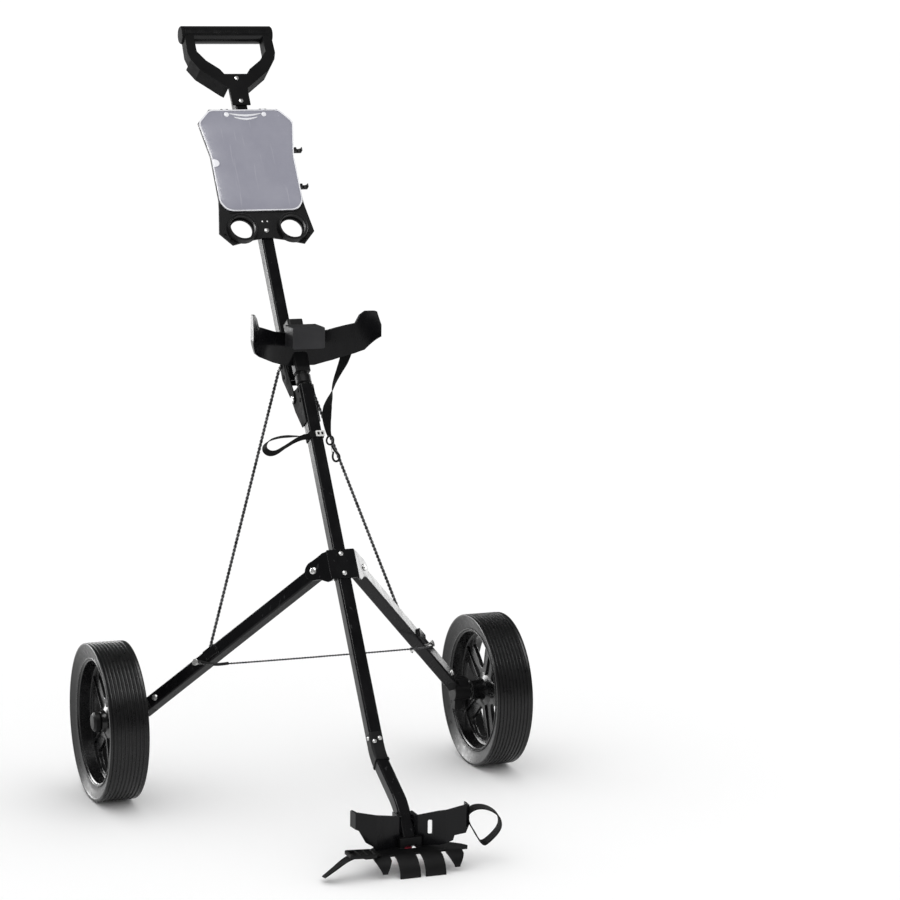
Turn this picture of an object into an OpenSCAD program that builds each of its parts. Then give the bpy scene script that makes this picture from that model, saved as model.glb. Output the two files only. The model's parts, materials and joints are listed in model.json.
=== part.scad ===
// Two-wheel folding golf pull cart, shown unfolded.
// Millimetres, +Z up, wheels at the rear (+Y), bag side at the front (-Y).
// Everything on the leaning mast is drawn in mast coordinates: x across, y behind the mast
// axis, z up along the mast, from a point on the mast above its lower joint.

/* [Overall] */

// Tyre diameter
wheel_d = 240; // [230:1:250]
// Tyre width
tyre_w = 60; // [50:1:64]
// Distance between the two wheel centres
track = 616; // [600:1:640]
// How far the mast leans back from upright, degrees
lean = 34; // [33:0.5:35]

/* [Tubes] */

// Width of the square tubes
tube_w = 20; // [18:0.5:20]
// Corner radius of the square tubes
tube_r = 2.5; // [1:0.5:4]
// Wall of the square tubes
tube_t = 1.5; // [1:0.1:2]

/* [Handle] */

// Length of the grip bar
grip_len = 151; // [148:1:160]
// Diameter of the grip bar
grip_d = 29; // [24:0.5:32]
// Height of the grip bar above the hinge, along the handle
grip_rise = 660; // [640:1:670]

/* [Console] */

// Diameter of the well that holds a ball
ball_well_d = 40; // [34:0.5:42]
// Thickness of the clear card cover
cover_t = 1.4; // [1:0.1:1.6]

/* [Bag supports] */

// Radius of the upper cradle
cradle_r = 103; // [100:1:106]
// Sheet thickness of the two bag supports
plate_t = 3; // [2:0.5:3.5]

/* [Wheels] */

// Diameter of the axle
axle_d = 12; // [10:0.5:14]
// Number of windows in the wheel disc
windows = 5; // [3:1:6]

/* [Hidden] */

$fn = 64;

// Moves the drawing so the middle of the base of the whole cart is the origin.
y_shift = 57.385;

wheel_r = wheel_d / 2;
half_track = track / 2;
half = tube_w / 2;
fit = 0.05;
// Mast frame: where its zero lies, in cart coordinates before the shift.
mast_y = -308;
mast_z = 168.1;
// Heights along the mast.
mast_top = 543;
mast_low = -18;
hinge_s = 533;
hinge_y = 24;
handle_y = 43;
handle_low = 569;
strut_s = 610;
leg_s = 245;
grip_s = hinge_s + grip_rise;
// The leg planes: angle back from the cart's width, and spread from the mast.
leg_back = 49.3;
leg_spread = 73.3;
leg_len = 339;
leg_x = 30.1;
leg_y = 17.1;

// ---------- helpers ----------

module mast() {
  translate([0, mast_y, mast_z])
    rotate([-lean, 0, 0])
      children();
}

module both() {
  children();
  mirror([1, 0, 0])
    children();
}

// Closes a right-hand outline with its mirror image.
function sym(p) = concat(p, [for (i = [len(p) - 1:-1:0]) [-p[i][0], p[i][1]]]);

module rounded(w, h, r) {
  offset_r = min(r, w / 2 - 0.01, h / 2 - 0.01);
  x = w / 2 - offset_r;
  y = h / 2 - offset_r;
  union() {
    square([w, h - 2 * offset_r], center = true);
    square([w - 2 * offset_r, h], center = true);
    for (i = [-1, 1])
      for (j = [-1, 1])
        translate([i * x, j * y])
          circle(r = offset_r, $fn = 32);
  }
}

module tube_section() {
  difference() {
    rounded(tube_w, tube_w, tube_r);
    rounded(tube_w - 2 * tube_t, tube_w - 2 * tube_t, max(tube_r - tube_t, 0.4));
  }
}

// A rivet head with its shank, along +Z from the surface at z = 0.
module rivet(d, h, shank) {
  rotate_extrude($fn = 40)
    polygon([
      [0, -shank], [d * 0.3, -shank], [d * 0.3, 0], [d / 2, 0],
      [d / 2 - h * 0.15, h * 0.55], [d * 0.3, h * 0.9], [0, h]
    ]);
}

// A thin round rod between two points.
module rod(a, b, d) {
  v = b - a;
  l = norm(v);
  translate(a)
    rotate([0, acos(v[2] / l), atan2(v[1], v[0])])
      cylinder(d = d, h = l, $fn = 24);
}

// ---------- mast ----------

module main_tube() {
  color([0.02, 0.02, 0.022])
    mast()
      difference() {
        translate([0, 0, mast_low])
          linear_extrude(mast_top - mast_low)
            tube_section();
        for (s = [leg_s - 15, leg_s + 16])
          translate([0, 0, s])
            rotate([90, 0, 0])
              cylinder(d = 5.2, h = tube_w, $fn = 40);
        for (s = [mast_top - 7, mast_top - 23])
          translate([-tube_w, 0, s])
            rotate([0, 90, 0])
              cylinder(d = 5.2, h = 2 * tube_w, $fn = 40);
      }
}

// A socket slips into the mast and turns forward; the lower tube runs on from its lip and
// bends back parallel to the mast.
low_bend = 29;
low_jog = 51;
low_r = 60;
low_drop = 36;
low_arc_y = low_r * (1 - cos(low_bend));
low_arc_z = low_r * sin(low_bend);
low_straight = (low_jog - 2 * low_arc_y) / sin(low_bend);
low_w = tube_w - 1;

module low_section(w) {
  rounded(w, w, tube_r);
}

module joint_socket() {
  inner = tube_w - 2 * tube_t - 0.1;
  color([0.02, 0.02, 0.022])
    mast() {
      translate([0, 0, mast_low - 4])
        linear_extrude(40)
          difference() {
            rounded(inner, inner, 1.2);
            rounded(inner - 3, inner - 3, 0.6);
          }
      translate([0, 0, -low_drop - 3])
        linear_extrude(low_drop + 3 + mast_low)
          low_section(tube_w);
      translate([0, 0, -low_drop])
        low_arc(tube_w + 0.2);
      translate([0, -low_arc_y, -low_drop - low_arc_z])
        rotate([-low_bend, 0, 0])
          translate([0, 0, -2])
            linear_extrude(3)
              low_section(tube_w + 1.6);
    }
}

module lower_tube() {
  color([0.025, 0.025, 0.028])
    mast() {
      translate([0, -low_arc_y, -low_drop - low_arc_z])
        rotate([-low_bend, 0, 0])
          translate([0, 0, -low_straight - 3])
            linear_extrude(low_straight + 3 - 2.02)
              low_section(low_w);
      translate([0, -low_jog + low_arc_y,
        -low_drop - low_arc_z - low_straight * cos(low_bend)])
        rotate([-low_bend, 0, 0])
          mirror([0, 1, 0])
            low_arc(low_w + 0.2);
      translate([0, -low_jog, -203])
        linear_extrude(206 - low_drop - 2 * low_arc_z - low_straight * cos(low_bend))
          low_section(low_w);
    }
}

// One bend of the lower tube, starting at the origin and heading down and forward.
module low_arc(w) {
  translate([0, -low_r, 0])
    rotate([0, 90, 0])
      rotate([0, 0, 90 - low_bend])
        rotate_extrude(angle = low_bend, $fn = 120)
          translate([low_r, 0])
            rotate(90)
              low_section(w);
}

module joint_rivets() {
  color([0.75, 0.75, 0.76])
    mast() {
      for (p = [[-4.5, -32], [4.5, -28]])
        translate([p[0], -half, p[1]])
          rotate([90, 0, 0])
            rivet(6.5, 2, 3);
      translate([-half, -2, -25])
        rotate([0, -90, 0])
          rivet(6.5, 2, 3);
    }
}

module end_plug() {
  color([0.85, 0.2, 0.28])
    translate([0, -451, 19.2])
      cube([16, 11, 11], center = true);
}

// ---------- leg bracket ----------

// Puts things in the leg's own frame: origin on the pivot at the leg's axis,
// x down the leg, z out of its front face.
module leg_frame(spread = leg_spread) {
  u = leg_dir(spread);
  v = leg_up(spread);
  w = leg_out;
  mast()
    multmatrix([
      [u[0], v[0], w[0], leg_x],
      [u[1], v[1], w[1], leg_y],
      [u[2], v[2], w[2], leg_s],
      [0, 0, 0, 1]
    ])
      children();
}

module leg_bracket() {
  t = 2.5;
  gap = 0.6;
  color([0.03, 0.03, 0.033])
    difference() {
      union() {
        // Front plate, wider than the mast.
        mast()
          translate([0, -half - 0.05, leg_s])
            rotate([90, 0, 0])
              linear_extrude(t)
                rounded(44, 46, 2);
        // Cheeks down the sides of the mast.
        mast()
          both()
            translate([half + 0.05, -half - 0.5, leg_s - 19])
              cube([2, 17, 38]);
        // Wings bent back, each with a round end at its leg's pivot.
        both()
          leg_frame(90)
            translate([0, 0, half + gap])
              linear_extrude(t) {
                circle(r = 15, $fn = 64);
                polygon([
                  [-28.2, -25], [-20, -25], [-8, -17], [0, -15], [0, 15], [-8, 17],
                  [-20, 20.9], [-28.2, 20.9]
                ]);
              }
      }
      both()
        leg_frame(90)
          cylinder(d = 8, h = 40, $fn = 48);
      mast()
        for (s = [leg_s - 15, leg_s + 16])
          translate([0, 0, s])
            rotate([90, 0, 0])
              cylinder(d = 5.2, h = tube_w * 2, $fn = 40);
    }
}

module leg_bracket_rivets() {
  color([0.75, 0.75, 0.76])
    mast()
      for (s = [leg_s - 15, leg_s + 16])
        translate([0, -half - 2.6, s])
          rotate([90, 0, 0])
            rivet(7.5, 2.2, 6);
}

module leg_pins() {
  color([0.72, 0.72, 0.73])
    both()
      leg_frame(90) {
        translate([0, 0, half + 3.1])
          rivet(11, 2.4, 3.1);
        translate([0, 0, -half - 1])
          cylinder(d = 8, h = tube_w + 4.1, $fn = 48);
        translate([0, 0, -half - 3])
          cylinder(d = 12, h = 2.2, $fn = 48);
      }
}

// ---------- hinge ----------

module hinge_bracket() {
  t = 1.6;
  color([0.03, 0.03, 0.033])
    mast()
      both()
        translate([half + 0.05, 0, 0])
          rotate([90, 0, 90])
            linear_extrude(t)
              difference() {
                polygon([
                  [-8, 542], [8, 542], [18, 544], [28, 543], [33, 538], [34, 528],
                  [30, 514], [13, 480], [-8, 480]
                ]);
                translate([hinge_y, hinge_s])
                  circle(d = 8, $fn = 48);
                for (s = [mast_top - 7, mast_top - 23])
                  translate([0, s])
                    circle(d = 5.2, $fn = 40);
              }
}

module hinge_rivets() {
  color([0.75, 0.75, 0.76])
    mast()
      both()
        for (s = [mast_top - 7, mast_top - 23])
          translate([half + 1.65, 0, s])
            rotate([0, 90, 0])
              rivet(7, 1.6, 6);
}

module hinge_pin() {
  color([0.75, 0.75, 0.76])
    mast()
      translate([0, hinge_y, hinge_s]) {
        translate([-15, 0, 0])
          rotate([0, 90, 0])
            cylinder(d = 8, h = 30, $fn = 48);
        both()
          translate([13.9, 0, 0])
            rotate([0, 90, 0])
              cylinder(d1 = 11, d2 = 8.5, h = 2.2, $fn = 48);
      }
}

// ---------- upper cradle ----------

module cradle_post() {
  inner = tube_w - 2 * tube_t - 0.1;
  color([0.03, 0.03, 0.033])
    mast() {
      translate([0, 0, mast_top - 60])
        linear_extrude(60)
          rounded(inner, inner, 1.2);
      translate([0, 0, mast_top])
        cylinder(d = 17, h = 30, $fn = 64);
      translate([0, 0, mast_top + 4])
        cylinder(d = 24, h = 12, $fn = 64);
      translate([0, -1, mast_top + 22])
        linear_extrude(74)
          rounded(24, 18, 3);
    }
}

module post_cap() {
  color([0.02, 0.02, 0.022])
    mast()
      translate([0, -4, mast_top + 96.05])
        linear_extrude(10)
          rounded(25, 26, 4);
}

// The curved band the upper cradle is cut from, seen from above.
module cradle_band(r, t, z0, z1, yc) {
  translate([0, yc, z0])
    difference() {
      cylinder(r = r + t, h = z1 - z0, $fn = 180);
      translate([0, 0, -1])
        cylinder(r = r, h = z1 - z0 + 2, $fn = 180);
    }
}

cradle_yc = -86;

module upper_cradle() {
  color([0.03, 0.03, 0.033])
    difference() {
      intersection() {
        cradle_band(cradle_r, plate_t + 1, 630, 750, cradle_yc);
        translate([0, 60, 0])
          rotate([90, 0, 0])
            linear_extrude(140)
              polygon(sym([
                [22, 647], [48, 655], [76, 667], [87, 674], [101, 698], [101, 716],
                [98, 735], [88, 733], [82, 726], [77, 713], [42, 701], [28, 699]
              ]));
      }
      for (x = [-14, 14])
        translate([x, 40, 694])
          rotate([90, 0, 0])
            cylinder(d = 6, h = 40, $fn = 40);
      // Seat for the post.
      mast()
        translate([0, -1, mast_top + 2])
          linear_extrude(96)
            rounded(24.1, 18.1, 3);
    }
}

module cradle_block() {
  color([0.04, 0.04, 0.043])
    difference() {
      translate([0, 14, 694])
        rotate([90, 0, 0])
          linear_extrude(38)
            rounded(51, 33, 3);
      cradle_band(cradle_r - 0.05, 40, 660, 720, cradle_yc);
      for (x = [-14, 14])
        translate([x, 30, 694])
          rotate([90, 0, 0])
            cylinder(d = 6, h = 40, $fn = 40);
    }
}

module cradle_bolts() {
  color([0.5, 0.5, 0.51])
    for (x = [-14, 14])
      translate([x, -10, 694])
        rotate([-90, 0, 0]) {
          cylinder(d = 6, h = 31, $fn = 40);
          translate([0, 0, 30.7])
            cylinder(d = 9, h = 2, $fn = 40);
        }
}

// ---------- straps ----------

module upper_strap() {
  color([0.03, 0.03, 0.03])
    union() {
      // Stitched flat against the back of the arm.
      translate([61, 5.2, 672])
        rotate([0, 0, -33])
          cube([20, 1.8, 40], center = true);
      // Free tail, twisted half a turn on its way down.
      translate([0, 6.5, 0])
        rotate([90, 0, 0])
          linear_extrude(2.4)
            polygon([
              [55, 656], [72, 657], [57, 634], [50, 612], [47, 598], [45, 577], [44, 548],
              [38, 538], [33, 569], [32, 585], [41, 602], [47, 631]
            ]);
    }
}

module strap_hook() {
  color([0.05, 0.05, 0.05])
    union() {
      for (p = [[44, 532, 7], [53, 508, 8]])
        translate([p[0], 5.3, p[1]])
          rotate([90, 0, 0])
            rotate_extrude($fn = 48)
              translate([p[2], 0])
                circle(d = 3, $fn = 24);
      rod([46, 5.3, 525], [50.5, 5.3, 516], 4);
    }
}

module mast_strap() {
  color([0.03, 0.03, 0.03])
    mast() {
      translate([0, 0, 452])
        linear_extrude(10)
          difference() {
            rounded(tube_w + 4, tube_w + 4, 3);
            rounded(tube_w + 0.4, tube_w + 0.4, 2.4);
          }
      // Free loop out to the left.
      difference() {
        translate([-45, 6, 450])
          rotate([90, -17, 0])
            linear_extrude(14)
              difference() {
                scale([1, 0.45])
                  circle(r = 37, $fn = 64);
                scale([1, 0.42])
                  circle(r = 35.4, $fn = 64);
              }
        translate([-half - 1, -20, 430])
          cube([40, 40, 40]);
      }
    }
}

module strap_buckle() {
  color([0.8, 0.8, 0.8])
    mast()
      translate([5, -half - 5, 457])
        cube([14, 5, 9], center = true);
}

// ---------- foot ----------

foot_y = -455;

// Two wings fixed round the tube, the bracket a little turned so the left one runs further back.
module foot_cradle() {
  color([0.03, 0.03, 0.033])
    difference() {
      union() {
        // Web behind the tube.
        translate([-14.5, foot_y + 16, 26])
          cube([29, 4, 20]);
        // Right wing, a tab turned back at its end.
        intersection() {
          linear_extrude(110)
            polygon([
              [10, foot_y - 3], [14, foot_y - 8], [48, foot_y - 31], [76, foot_y - 36],
              [83, foot_y - 31], [85, foot_y - 12], [82, foot_y - 12], [80.5, foot_y - 28],
              [75, foot_y - 32.5], [49, foot_y - 28], [15, foot_y - 4.5],
              [15, foot_y + 18], [10, foot_y + 18]
            ]);
          foot_face([
            [8, 26], [40, 30], [58, 37], [60, 44], [76, 47], [85, 60], [85, 85],
            [77, 88], [40, 79], [16, 71], [8, 69]
          ]);
        }
        // Left wing.
        intersection() {
          linear_extrude(110)
            polygon([
              [-10, foot_y - 4], [-14, foot_y - 8], [-51, foot_y - 17], [-76, foot_y - 12.5],
              [-80, foot_y - 9], [-82, foot_y + 8], [-79, foot_y + 8], [-77.2, foot_y - 7.4],
              [-75.5, foot_y - 9.6], [-51, foot_y - 13.8], [-15, foot_y - 5],
              [-15, foot_y + 18], [-10, foot_y + 18]
            ]);
          foot_face([
            [-8, 26], [-51, 27], [-56, 34], [-66, 40], [-76, 58], [-83, 60], [-83, 82],
            [-76, 84], [-51, 79], [-16, 72], [-8, 69]
          ]);
        }
      }
      // Slot beside the tube.
      translate([29, -440, 55])
        rotate([90, 0, 0])
          linear_extrude(60)
            rounded(6, 21, 2.5);
      foot_tube_space();
    }
}

// An outline seen from the front, through the depth of the bracket.
module foot_face(p) {
  translate([0, -430, 0])
    rotate([90, 0, 0])
      linear_extrude(90)
        polygon(p);
}

module foot_tube_space() {
  mast()
    translate([0, -low_jog, -220])
      linear_extrude(120)
        rounded(tube_w + 0.1, tube_w + 0.1, tube_r);
}

// The shelf carries four down-turned prongs that stand on the ground.
module foot_shelf() {
  t = 3;
  r = 28;
  color([0.05, 0.05, 0.053])
    difference() {
      union() {
        translate([0, 0, r - t])
          linear_extrude(t)
            polygon([
              [-40, -446], [40, -446], [74, -478], [80, -488], [76, -497],
              [-76, -497], [-80, -488], [-74, -478]
            ]);
        both()
          for (p = [[19, 30, 28], [54, 24, 21]])
            translate([p[0] - p[1] / 2, -496, r - p[2]])
              rotate([0, 90, 0])
                linear_extrude(p[1])
                  difference() {
                    intersection() {
                      circle(r = p[2], $fn = 96);
                      translate([-p[2], -p[2]])
                        square([p[2], p[2] + 3]);
                    }
                    circle(r = p[2] - t, $fn = 96);
                  }
        // Heel tray round the tube.
        translate([0, -459, r - t])
          linear_extrude(17)
            rounded(34, 30, 3);
      }
      foot_tube_space();
      // The outer prongs come to a point.
      for (k = [-1, 1])
        translate([k * 54, -480, 0])
          rotate([90, 0, 0])
            linear_extrude(60)
              for (i = [-1, 1])
                polygon([[i * 3, -1], [i * 4, 9], [i * 12.2, 24], [i * 16, 24], [i * 16, -1]]);
    }
}

module foot_bolts() {
  color([0.72, 0.72, 0.73])
    mast()
      translate([0, -low_jog, -178.5])
        both()
          translate([15.05, 0, 0])
            rotate([0, 90, 0])
              rivet(9, 2.2, 5);
}

module foot_loop() {
  color([0.03, 0.03, 0.03])
    translate([106, -482, 66])
      rotate([90, 0, 12])
        linear_extrude(24, center = true)
          difference() {
            scale([1, 0.8])
              circle(r = 22, $fn = 64);
            scale([1, 0.76])
              circle(r = 20.2, $fn = 64);
          }
}

module foot_strap() {
  color([0.03, 0.03, 0.03])
    translate([0, -488, 0])
      rotate([90, 0, 0])
        linear_extrude(24)
          polygon([
            [-58, 31], [-106, 33], [-141, 9], [-140, 7], [-106, 31], [-58, 29]
          ]);
}

module foot_buckle() {
  color([0.04, 0.04, 0.04])
    translate([-84, -500, 34])
      rotate([0, 3, 0])
        difference() {
          cube([40, 30, 8], center = true);
          cube([44, 25, 4.6], center = true);
        }
}

// ---------- struts and tie ----------

module strut_right() {
  color([0.6, 0.6, 0.6])
    rod(strut_top, strut_foot, 3.4);
}

module strut_left() {
  mirror([1, 0, 0])
    strut_right();
}

// Points on the mast frame and the leg frame, in cart coordinates.
function from_mast(p) = [
  p[0],
  mast_y + p[1] * cos(lean) + p[2] * sin(lean),
  mast_z - p[1] * sin(lean) + p[2] * cos(lean)
];

function leg_dir(spread) = [
  sin(spread) * cos(leg_back), sin(spread) * sin(leg_back), -cos(spread)
];

function leg_up(spread) = [
  cos(spread) * cos(leg_back), cos(spread) * sin(leg_back), sin(spread)
];

leg_out = [sin(leg_back), -cos(leg_back), 0];

function on_leg(along, up, out) = from_mast(
  [leg_x, leg_y, leg_s] + along * leg_dir(leg_spread)
  + up * leg_up(leg_spread) + out * leg_out
);

strut_top = from_mast([15.8, handle_y - 6, strut_s - 5.6]);
strut_foot = on_leg(236, 5.4, -half - 5);
tie_bolt = on_leg(230.6, -2, half + 6);
tie_edge = on_leg(212, -20, 12);
tie_mid = [0, tie_edge[1], tie_edge[2] - 1];

module tie_right() {
  color([0.6, 0.6, 0.6]) {
    rod(tie_mid, tie_edge, 3.2);
    rod(tie_edge, tie_bolt, 3.2);
    translate(tie_edge)
      sphere(d = 3.3, $fn = 24);
  }
}

module tie_left() {
  mirror([1, 0, 0])
    tie_right();
}

// ---------- handle ----------

module handle_tube() {
  color([0.02, 0.02, 0.022])
    mast()
      difference() {
        translate([0, handle_y, handle_low])
          linear_extrude(grip_s - 84 - handle_low)
            tube_section();
        for (s = [1063, 1105])
          translate([0, handle_y, s])
            rotate([90, 0, 0])
              cylinder(d = 4.4, h = tube_w, $fn = 40);
        translate([0, handle_y, 828])
          rotate([90, 0, 0])
            cylinder(d = 4.4, h = tube_w, $fn = 40);
      }
}

module handle_channel() {
  t = 1.6;
  x0 = half + 0.05;
  x1 = 11.95;
  color([0.03, 0.03, 0.033])
    mast()
      difference() {
        both() {
          translate([x1, 0, 0])
            rotate([90, 0, 90])
              linear_extrude(t)
                polygon([
                  [hinge_y - 8, hinge_s + 3], [hinge_y - 6, hinge_s - 5], [hinge_y, hinge_s - 8],
                  [hinge_y + 6, hinge_s - 5], [37, hinge_s + 12], [54, 580], [54, 622],
                  [34, 622], [30, 600], [20, 556]
                ]);
          // Cheek that fills between the tube and the side plate.
          translate([x0, handle_y - 9, handle_low + 8])
            cube([x1 - x0 + 0.5, 18, 43]);
        }
        translate([-20, hinge_y, hinge_s])
          rotate([0, 90, 0])
            cylinder(d = 8 + 2 * fit, h = 40, $fn = 48);
      }
}

module channel_rivets() {
  color([0.75, 0.75, 0.76])
    mast()
      both()
        for (s = [580, 598])
          translate([13.55, handle_y + 2, s])
            rotate([0, 90, 0])
              rivet(7, 1.8, 6);
}

module strut_pins() {
  color([0.7, 0.7, 0.7])
    mast()
      both()
        translate([12.5, handle_y - 6, strut_s])
          rotate([0, 90, 0]) {
            cylinder(d = 5, h = 7, $fn = 40);
            translate([0, 0, 6])
              cylinder(d = 8, h = 1.6, $fn = 40);
          }
}

// Outline of one side of the D frame, in mast x and z.
module grip_outline() {
  polygon(sym([
    [15, 1056], [15, 1086], [21, 1091], [58, 1121], [70, 1140], [73.5, 1153],
    [72.5, grip_s - 6], [58, grip_s - 6], [57.5, 1155], [45, 1138], [25, 1122], [19, 1113]
  ]));
}

module grip_walls() {
  both()
    difference() {
      polygon([
        [21, 1091], [58, 1121], [70, 1140], [73.5, 1153], [72.5, grip_s - 6], [58, grip_s - 6],
        [57.5, 1155], [45, 1138], [25, 1122], [16, 1110], [16, 1088]
      ]);
      polygon([
        [21, 1094], [56.5, 1122.5], [68, 1141], [71.5, 1153.5], [70.5, grip_s + 1],
        [60, grip_s + 1], [59.5, 1154], [46.5, 1136.5], [26.5, 1120.5], [18, 1109.3],
        [18, 1092]
      ]);
    }
}

module grip_frame() {
  t = 2.5;
  y0 = handle_y - half - 0.05;
  color([0.03, 0.03, 0.033])
    mast()
      difference() {
        translate([0, y0, 0])
          rotate([90, 0, 0])
            linear_extrude(t)
              grip_outline();
        for (s = [1063, 1105])
          translate([0, handle_y, s])
            rotate([90, 0, 0])
              cylinder(d = 4.4, h = 2 * tube_w, $fn = 40);
        grip_space();
      }
  // Flanges turned back along the outer and inner edges.
  color([0.03, 0.03, 0.033])
    mast()
      difference() {
        union() {
          translate([0, handle_y + 9, 0])
            rotate([90, 0, 0])
              linear_extrude(19.5)
                grip_walls();
          // The lower run is deeper.
          translate([0, handle_y + 20, 0])
            rotate([90, 0, 0])
              linear_extrude(30.5)
                intersection() {
                  grip_walls();
                  translate([-70, 1085])
                    square([140, 55]);
                }
        }
        grip_space();
      }
}

module grip_space() {
  translate([-90, handle_y, grip_s])
    rotate([0, 90, 0])
      cylinder(d = grip_d + 0.1, h = 180, $fn = 96);
}

module grip_bar() {
  color([0.02, 0.02, 0.02])
    mast()
      translate([-grip_len / 2 + 4, handle_y, grip_s])
        rotate([0, 90, 0])
          cylinder(d = grip_d, h = grip_len - 8, $fn = 96);
}

module grip_caps() {
  color([0.02, 0.02, 0.02])
    mast()
      both()
        translate([grip_len / 2 - 3.95, handle_y, grip_s])
          rotate([0, 90, 0])
            rotate_extrude($fn = 96)
              polygon([
                [0, 0], [grip_d / 2, 0], [grip_d / 2, 2.5], [grip_d / 2 - 1.5, 4.5], [0, 5]
              ]);
}

module grip_rivets() {
  color([0.8, 0.8, 0.8])
    mast()
      for (s = [1063, 1105])
        translate([0, handle_y - half - 2.55, s])
          rotate([90, 0, 0])
            rivet(7.5, 1.6, 5);
}

// ---------- console ----------

console_y = handle_y - half - 0.05;
board_t = 3;
well_s = 830;
well_x = 41;

module board_outline() {
  polygon(sym([
    [9, 815], [26, 812], [59, 804], [78, 825], [71, 868], [69, 884], [69, 960],
    [79, 1022], [57, 1046.8]
  ]));
}

module console() {
  color([0.03, 0.03, 0.033])
    mast()
      difference() {
        union() {
          translate([0, console_y, 0])
            rotate([90, 0, 0])
              linear_extrude(board_t)
                board_outline();
          // Rim round the card panel.
          translate([0, console_y - board_t, 0])
            rotate([90, 0, 0])
              linear_extrude(0.9)
                difference() {
                  polygon(sym([
                    [55, 860], [69.5, 875], [69, 960], [79, 1022], [62, 1041]
                  ]));
                  polygon(sym([
                    [53.5, 863.5], [67.2, 878], [66.3, 960.4], [76, 1020.6], [60, 1042]
                  ]));
                }
        }
        both()
          translate([well_x, console_y + 1, well_s])
            rotate([90, 0, 0])
              cylinder(d = ball_well_d - 5, h = 10, $fn = 96);
        both()
          for (p = [[68, 822], [60.5, 812]])
            translate([p[0], console_y - 1, p[1]])
              rotate([90, 0, 0])
                cylinder(d = 4, h = 10, $fn = 40);
        translate([0, console_y + 1, 828])
          rotate([90, 0, 0])
            cylinder(d = 4.4, h = 10, $fn = 40);
      }
}

module ball_rings() {
  color([0.03, 0.03, 0.033])
    mast()
      both()
        translate([well_x, console_y - board_t - 0.02, well_s])
          rotate([90, 0, 0])
            rotate_extrude($fn = 96)
              polygon([
                [ball_well_d / 2, 0], [24.5, 0], [24, 11], [22.8, 12.5], [21.4, 12.5],
                [ball_well_d / 2, 10.5]
              ]);
}

module console_rivets() {
  color([0.8, 0.8, 0.8])
    mast() {
      translate([0, console_y - board_t, 828])
        rotate([90, 0, 0])
          rivet(7.5, 1.6, 5);
      both()
        translate([4, console_y - board_t, 844])
          rotate([90, 0, 0])
            rivet(3.2, 0.8, 1);
    }
}

cover_y = console_y - board_t - 1;
cover_s = 1045;
cover_axis = cover_y - cover_t / 2;

module cover_lugs() {
  color([0.03, 0.03, 0.033])
    mast()
      both()
        for (x = [26, 35])
          translate([x, 0, 0])
            rotate([90, 0, 90])
              linear_extrude(3)
                difference() {
                  union() {
                    translate([cover_axis, cover_s])
                      circle(r = 1.6, $fn = 48);
                    translate([cover_axis, cover_s - 1.2])
                      square([console_y - board_t - cover_axis - 0.02, 2.8]);
                  }
                  translate([cover_axis, cover_s])
                    circle(d = 1.6, $fn = 40);
                }
}

module card_cover() {
  color([0.6, 0.6, 0.66, 0.6])
    mast()
      difference() {
        union() {
          translate([0, cover_y, 0])
            rotate([90, 0, 0])
              linear_extrude(cover_t)
                difference() {
                  polygon(sym([
                    [50, 862], [60, 865.5], [68.5, 878], [68.5, 960], [78.2, 1019], [76.5, 1025],
                    [60, 1043.5], [56, cover_s]
                  ]));
                  // Notches where the lugs stand.
                  both()
                    for (x = [25.6, 34.6])
                      translate([x, cover_s - 2.2])
                        square([3.8, 4]);
                }
          // Knuckles at the top.
          both()
            translate([29.5, cover_axis, cover_s])
              rotate([0, 90, 0])
                cylinder(r = 1.6, h = 5, $fn = 48);
        }
        // One bore along each pin.
        both()
          translate([24.8, cover_axis, cover_s])
            rotate([0, 90, 0])
              cylinder(d = 1.6 + 2 * fit, h = 14.4, $fn = 40);
      }
}

module cover_pins() {
  color([0.8, 0.8, 0.8])
    mast()
      both()
        translate([25, cover_axis, cover_s])
          rotate([0, 90, 0])
            cylinder(d = 1.6, h = 14, $fn = 40);
}

module pencil_clips() {
  color([0.03, 0.03, 0.033])
    mast()
      for (p = [[69.6, 906], [71.6, 972]])
        translate([p[0], console_y - 6, p[1]])
          difference() {
            translate([0, 0, -3])
              cube([13, 9, 6]);
            translate([7.5, 1.5, -4])
              cylinder(d = 8.6, h = 8, $fn = 40);
          }
}

// ---------- legs ----------

module leg_right() {
  color([0.02, 0.02, 0.022])
    leg_frame()
      difference() {
        union() {
          translate([-13, 0, 0])
            rotate([90, 0, 90])
              linear_extrude(leg_len + 13)
                tube_section();
          // Saddle that keeps the tie off the front face.
          translate([198, -7, half - 0.5])
            cube([22, 15, 4.5]);
        }
        translate([0, 0, -20])
          cylinder(d = 8 + 2 * fit, h = 40, $fn = 48);
        translate([236, 0, -20])
          cylinder(d = 6, h = 40, $fn = 40);
        translate([326, 0, half - 1.3])
          cylinder(d = 6, h = 5, $fn = 40);
      }
}

module leg_left() {
  mirror([1, 0, 0])
    leg_right();
}

axle_x = half_track - tyre_w / 2 - 2;

module axle_block_right() {
  inner = tube_w - 2 * tube_t - 0.1;
  color([0.03, 0.03, 0.033])
    difference() {
      union() {
        leg_frame() {
          translate([leg_len - 40, 0, 0])
            rotate([90, 0, 90])
              linear_extrude(40)
                rounded(inner, inner, 1.2);
          translate([leg_len, 0, 0])
            rotate([90, 0, 90])
              linear_extrude(18)
                rounded(tube_w, tube_w, 2);
        }
        translate([axle_x - 26, 0, wheel_r])
          rotate([0, 90, 0])
            cylinder(d = 30, h = 26, $fn = 80);
        translate([axle_x - 26, -12, wheel_r])
          cube([22, 20, 22]);
        translate([axle_x - 24, -7, wheel_r - 28])
          cube([12, 14, 20]);
      }
      translate([axle_x - 22, 0, wheel_r])
        rotate([0, 90, 0])
          cylinder(d = axle_d, h = 40, $fn = 64);
    }
}

module axle_block_left() {
  mirror([1, 0, 0])
    axle_block_right();
}

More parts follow.
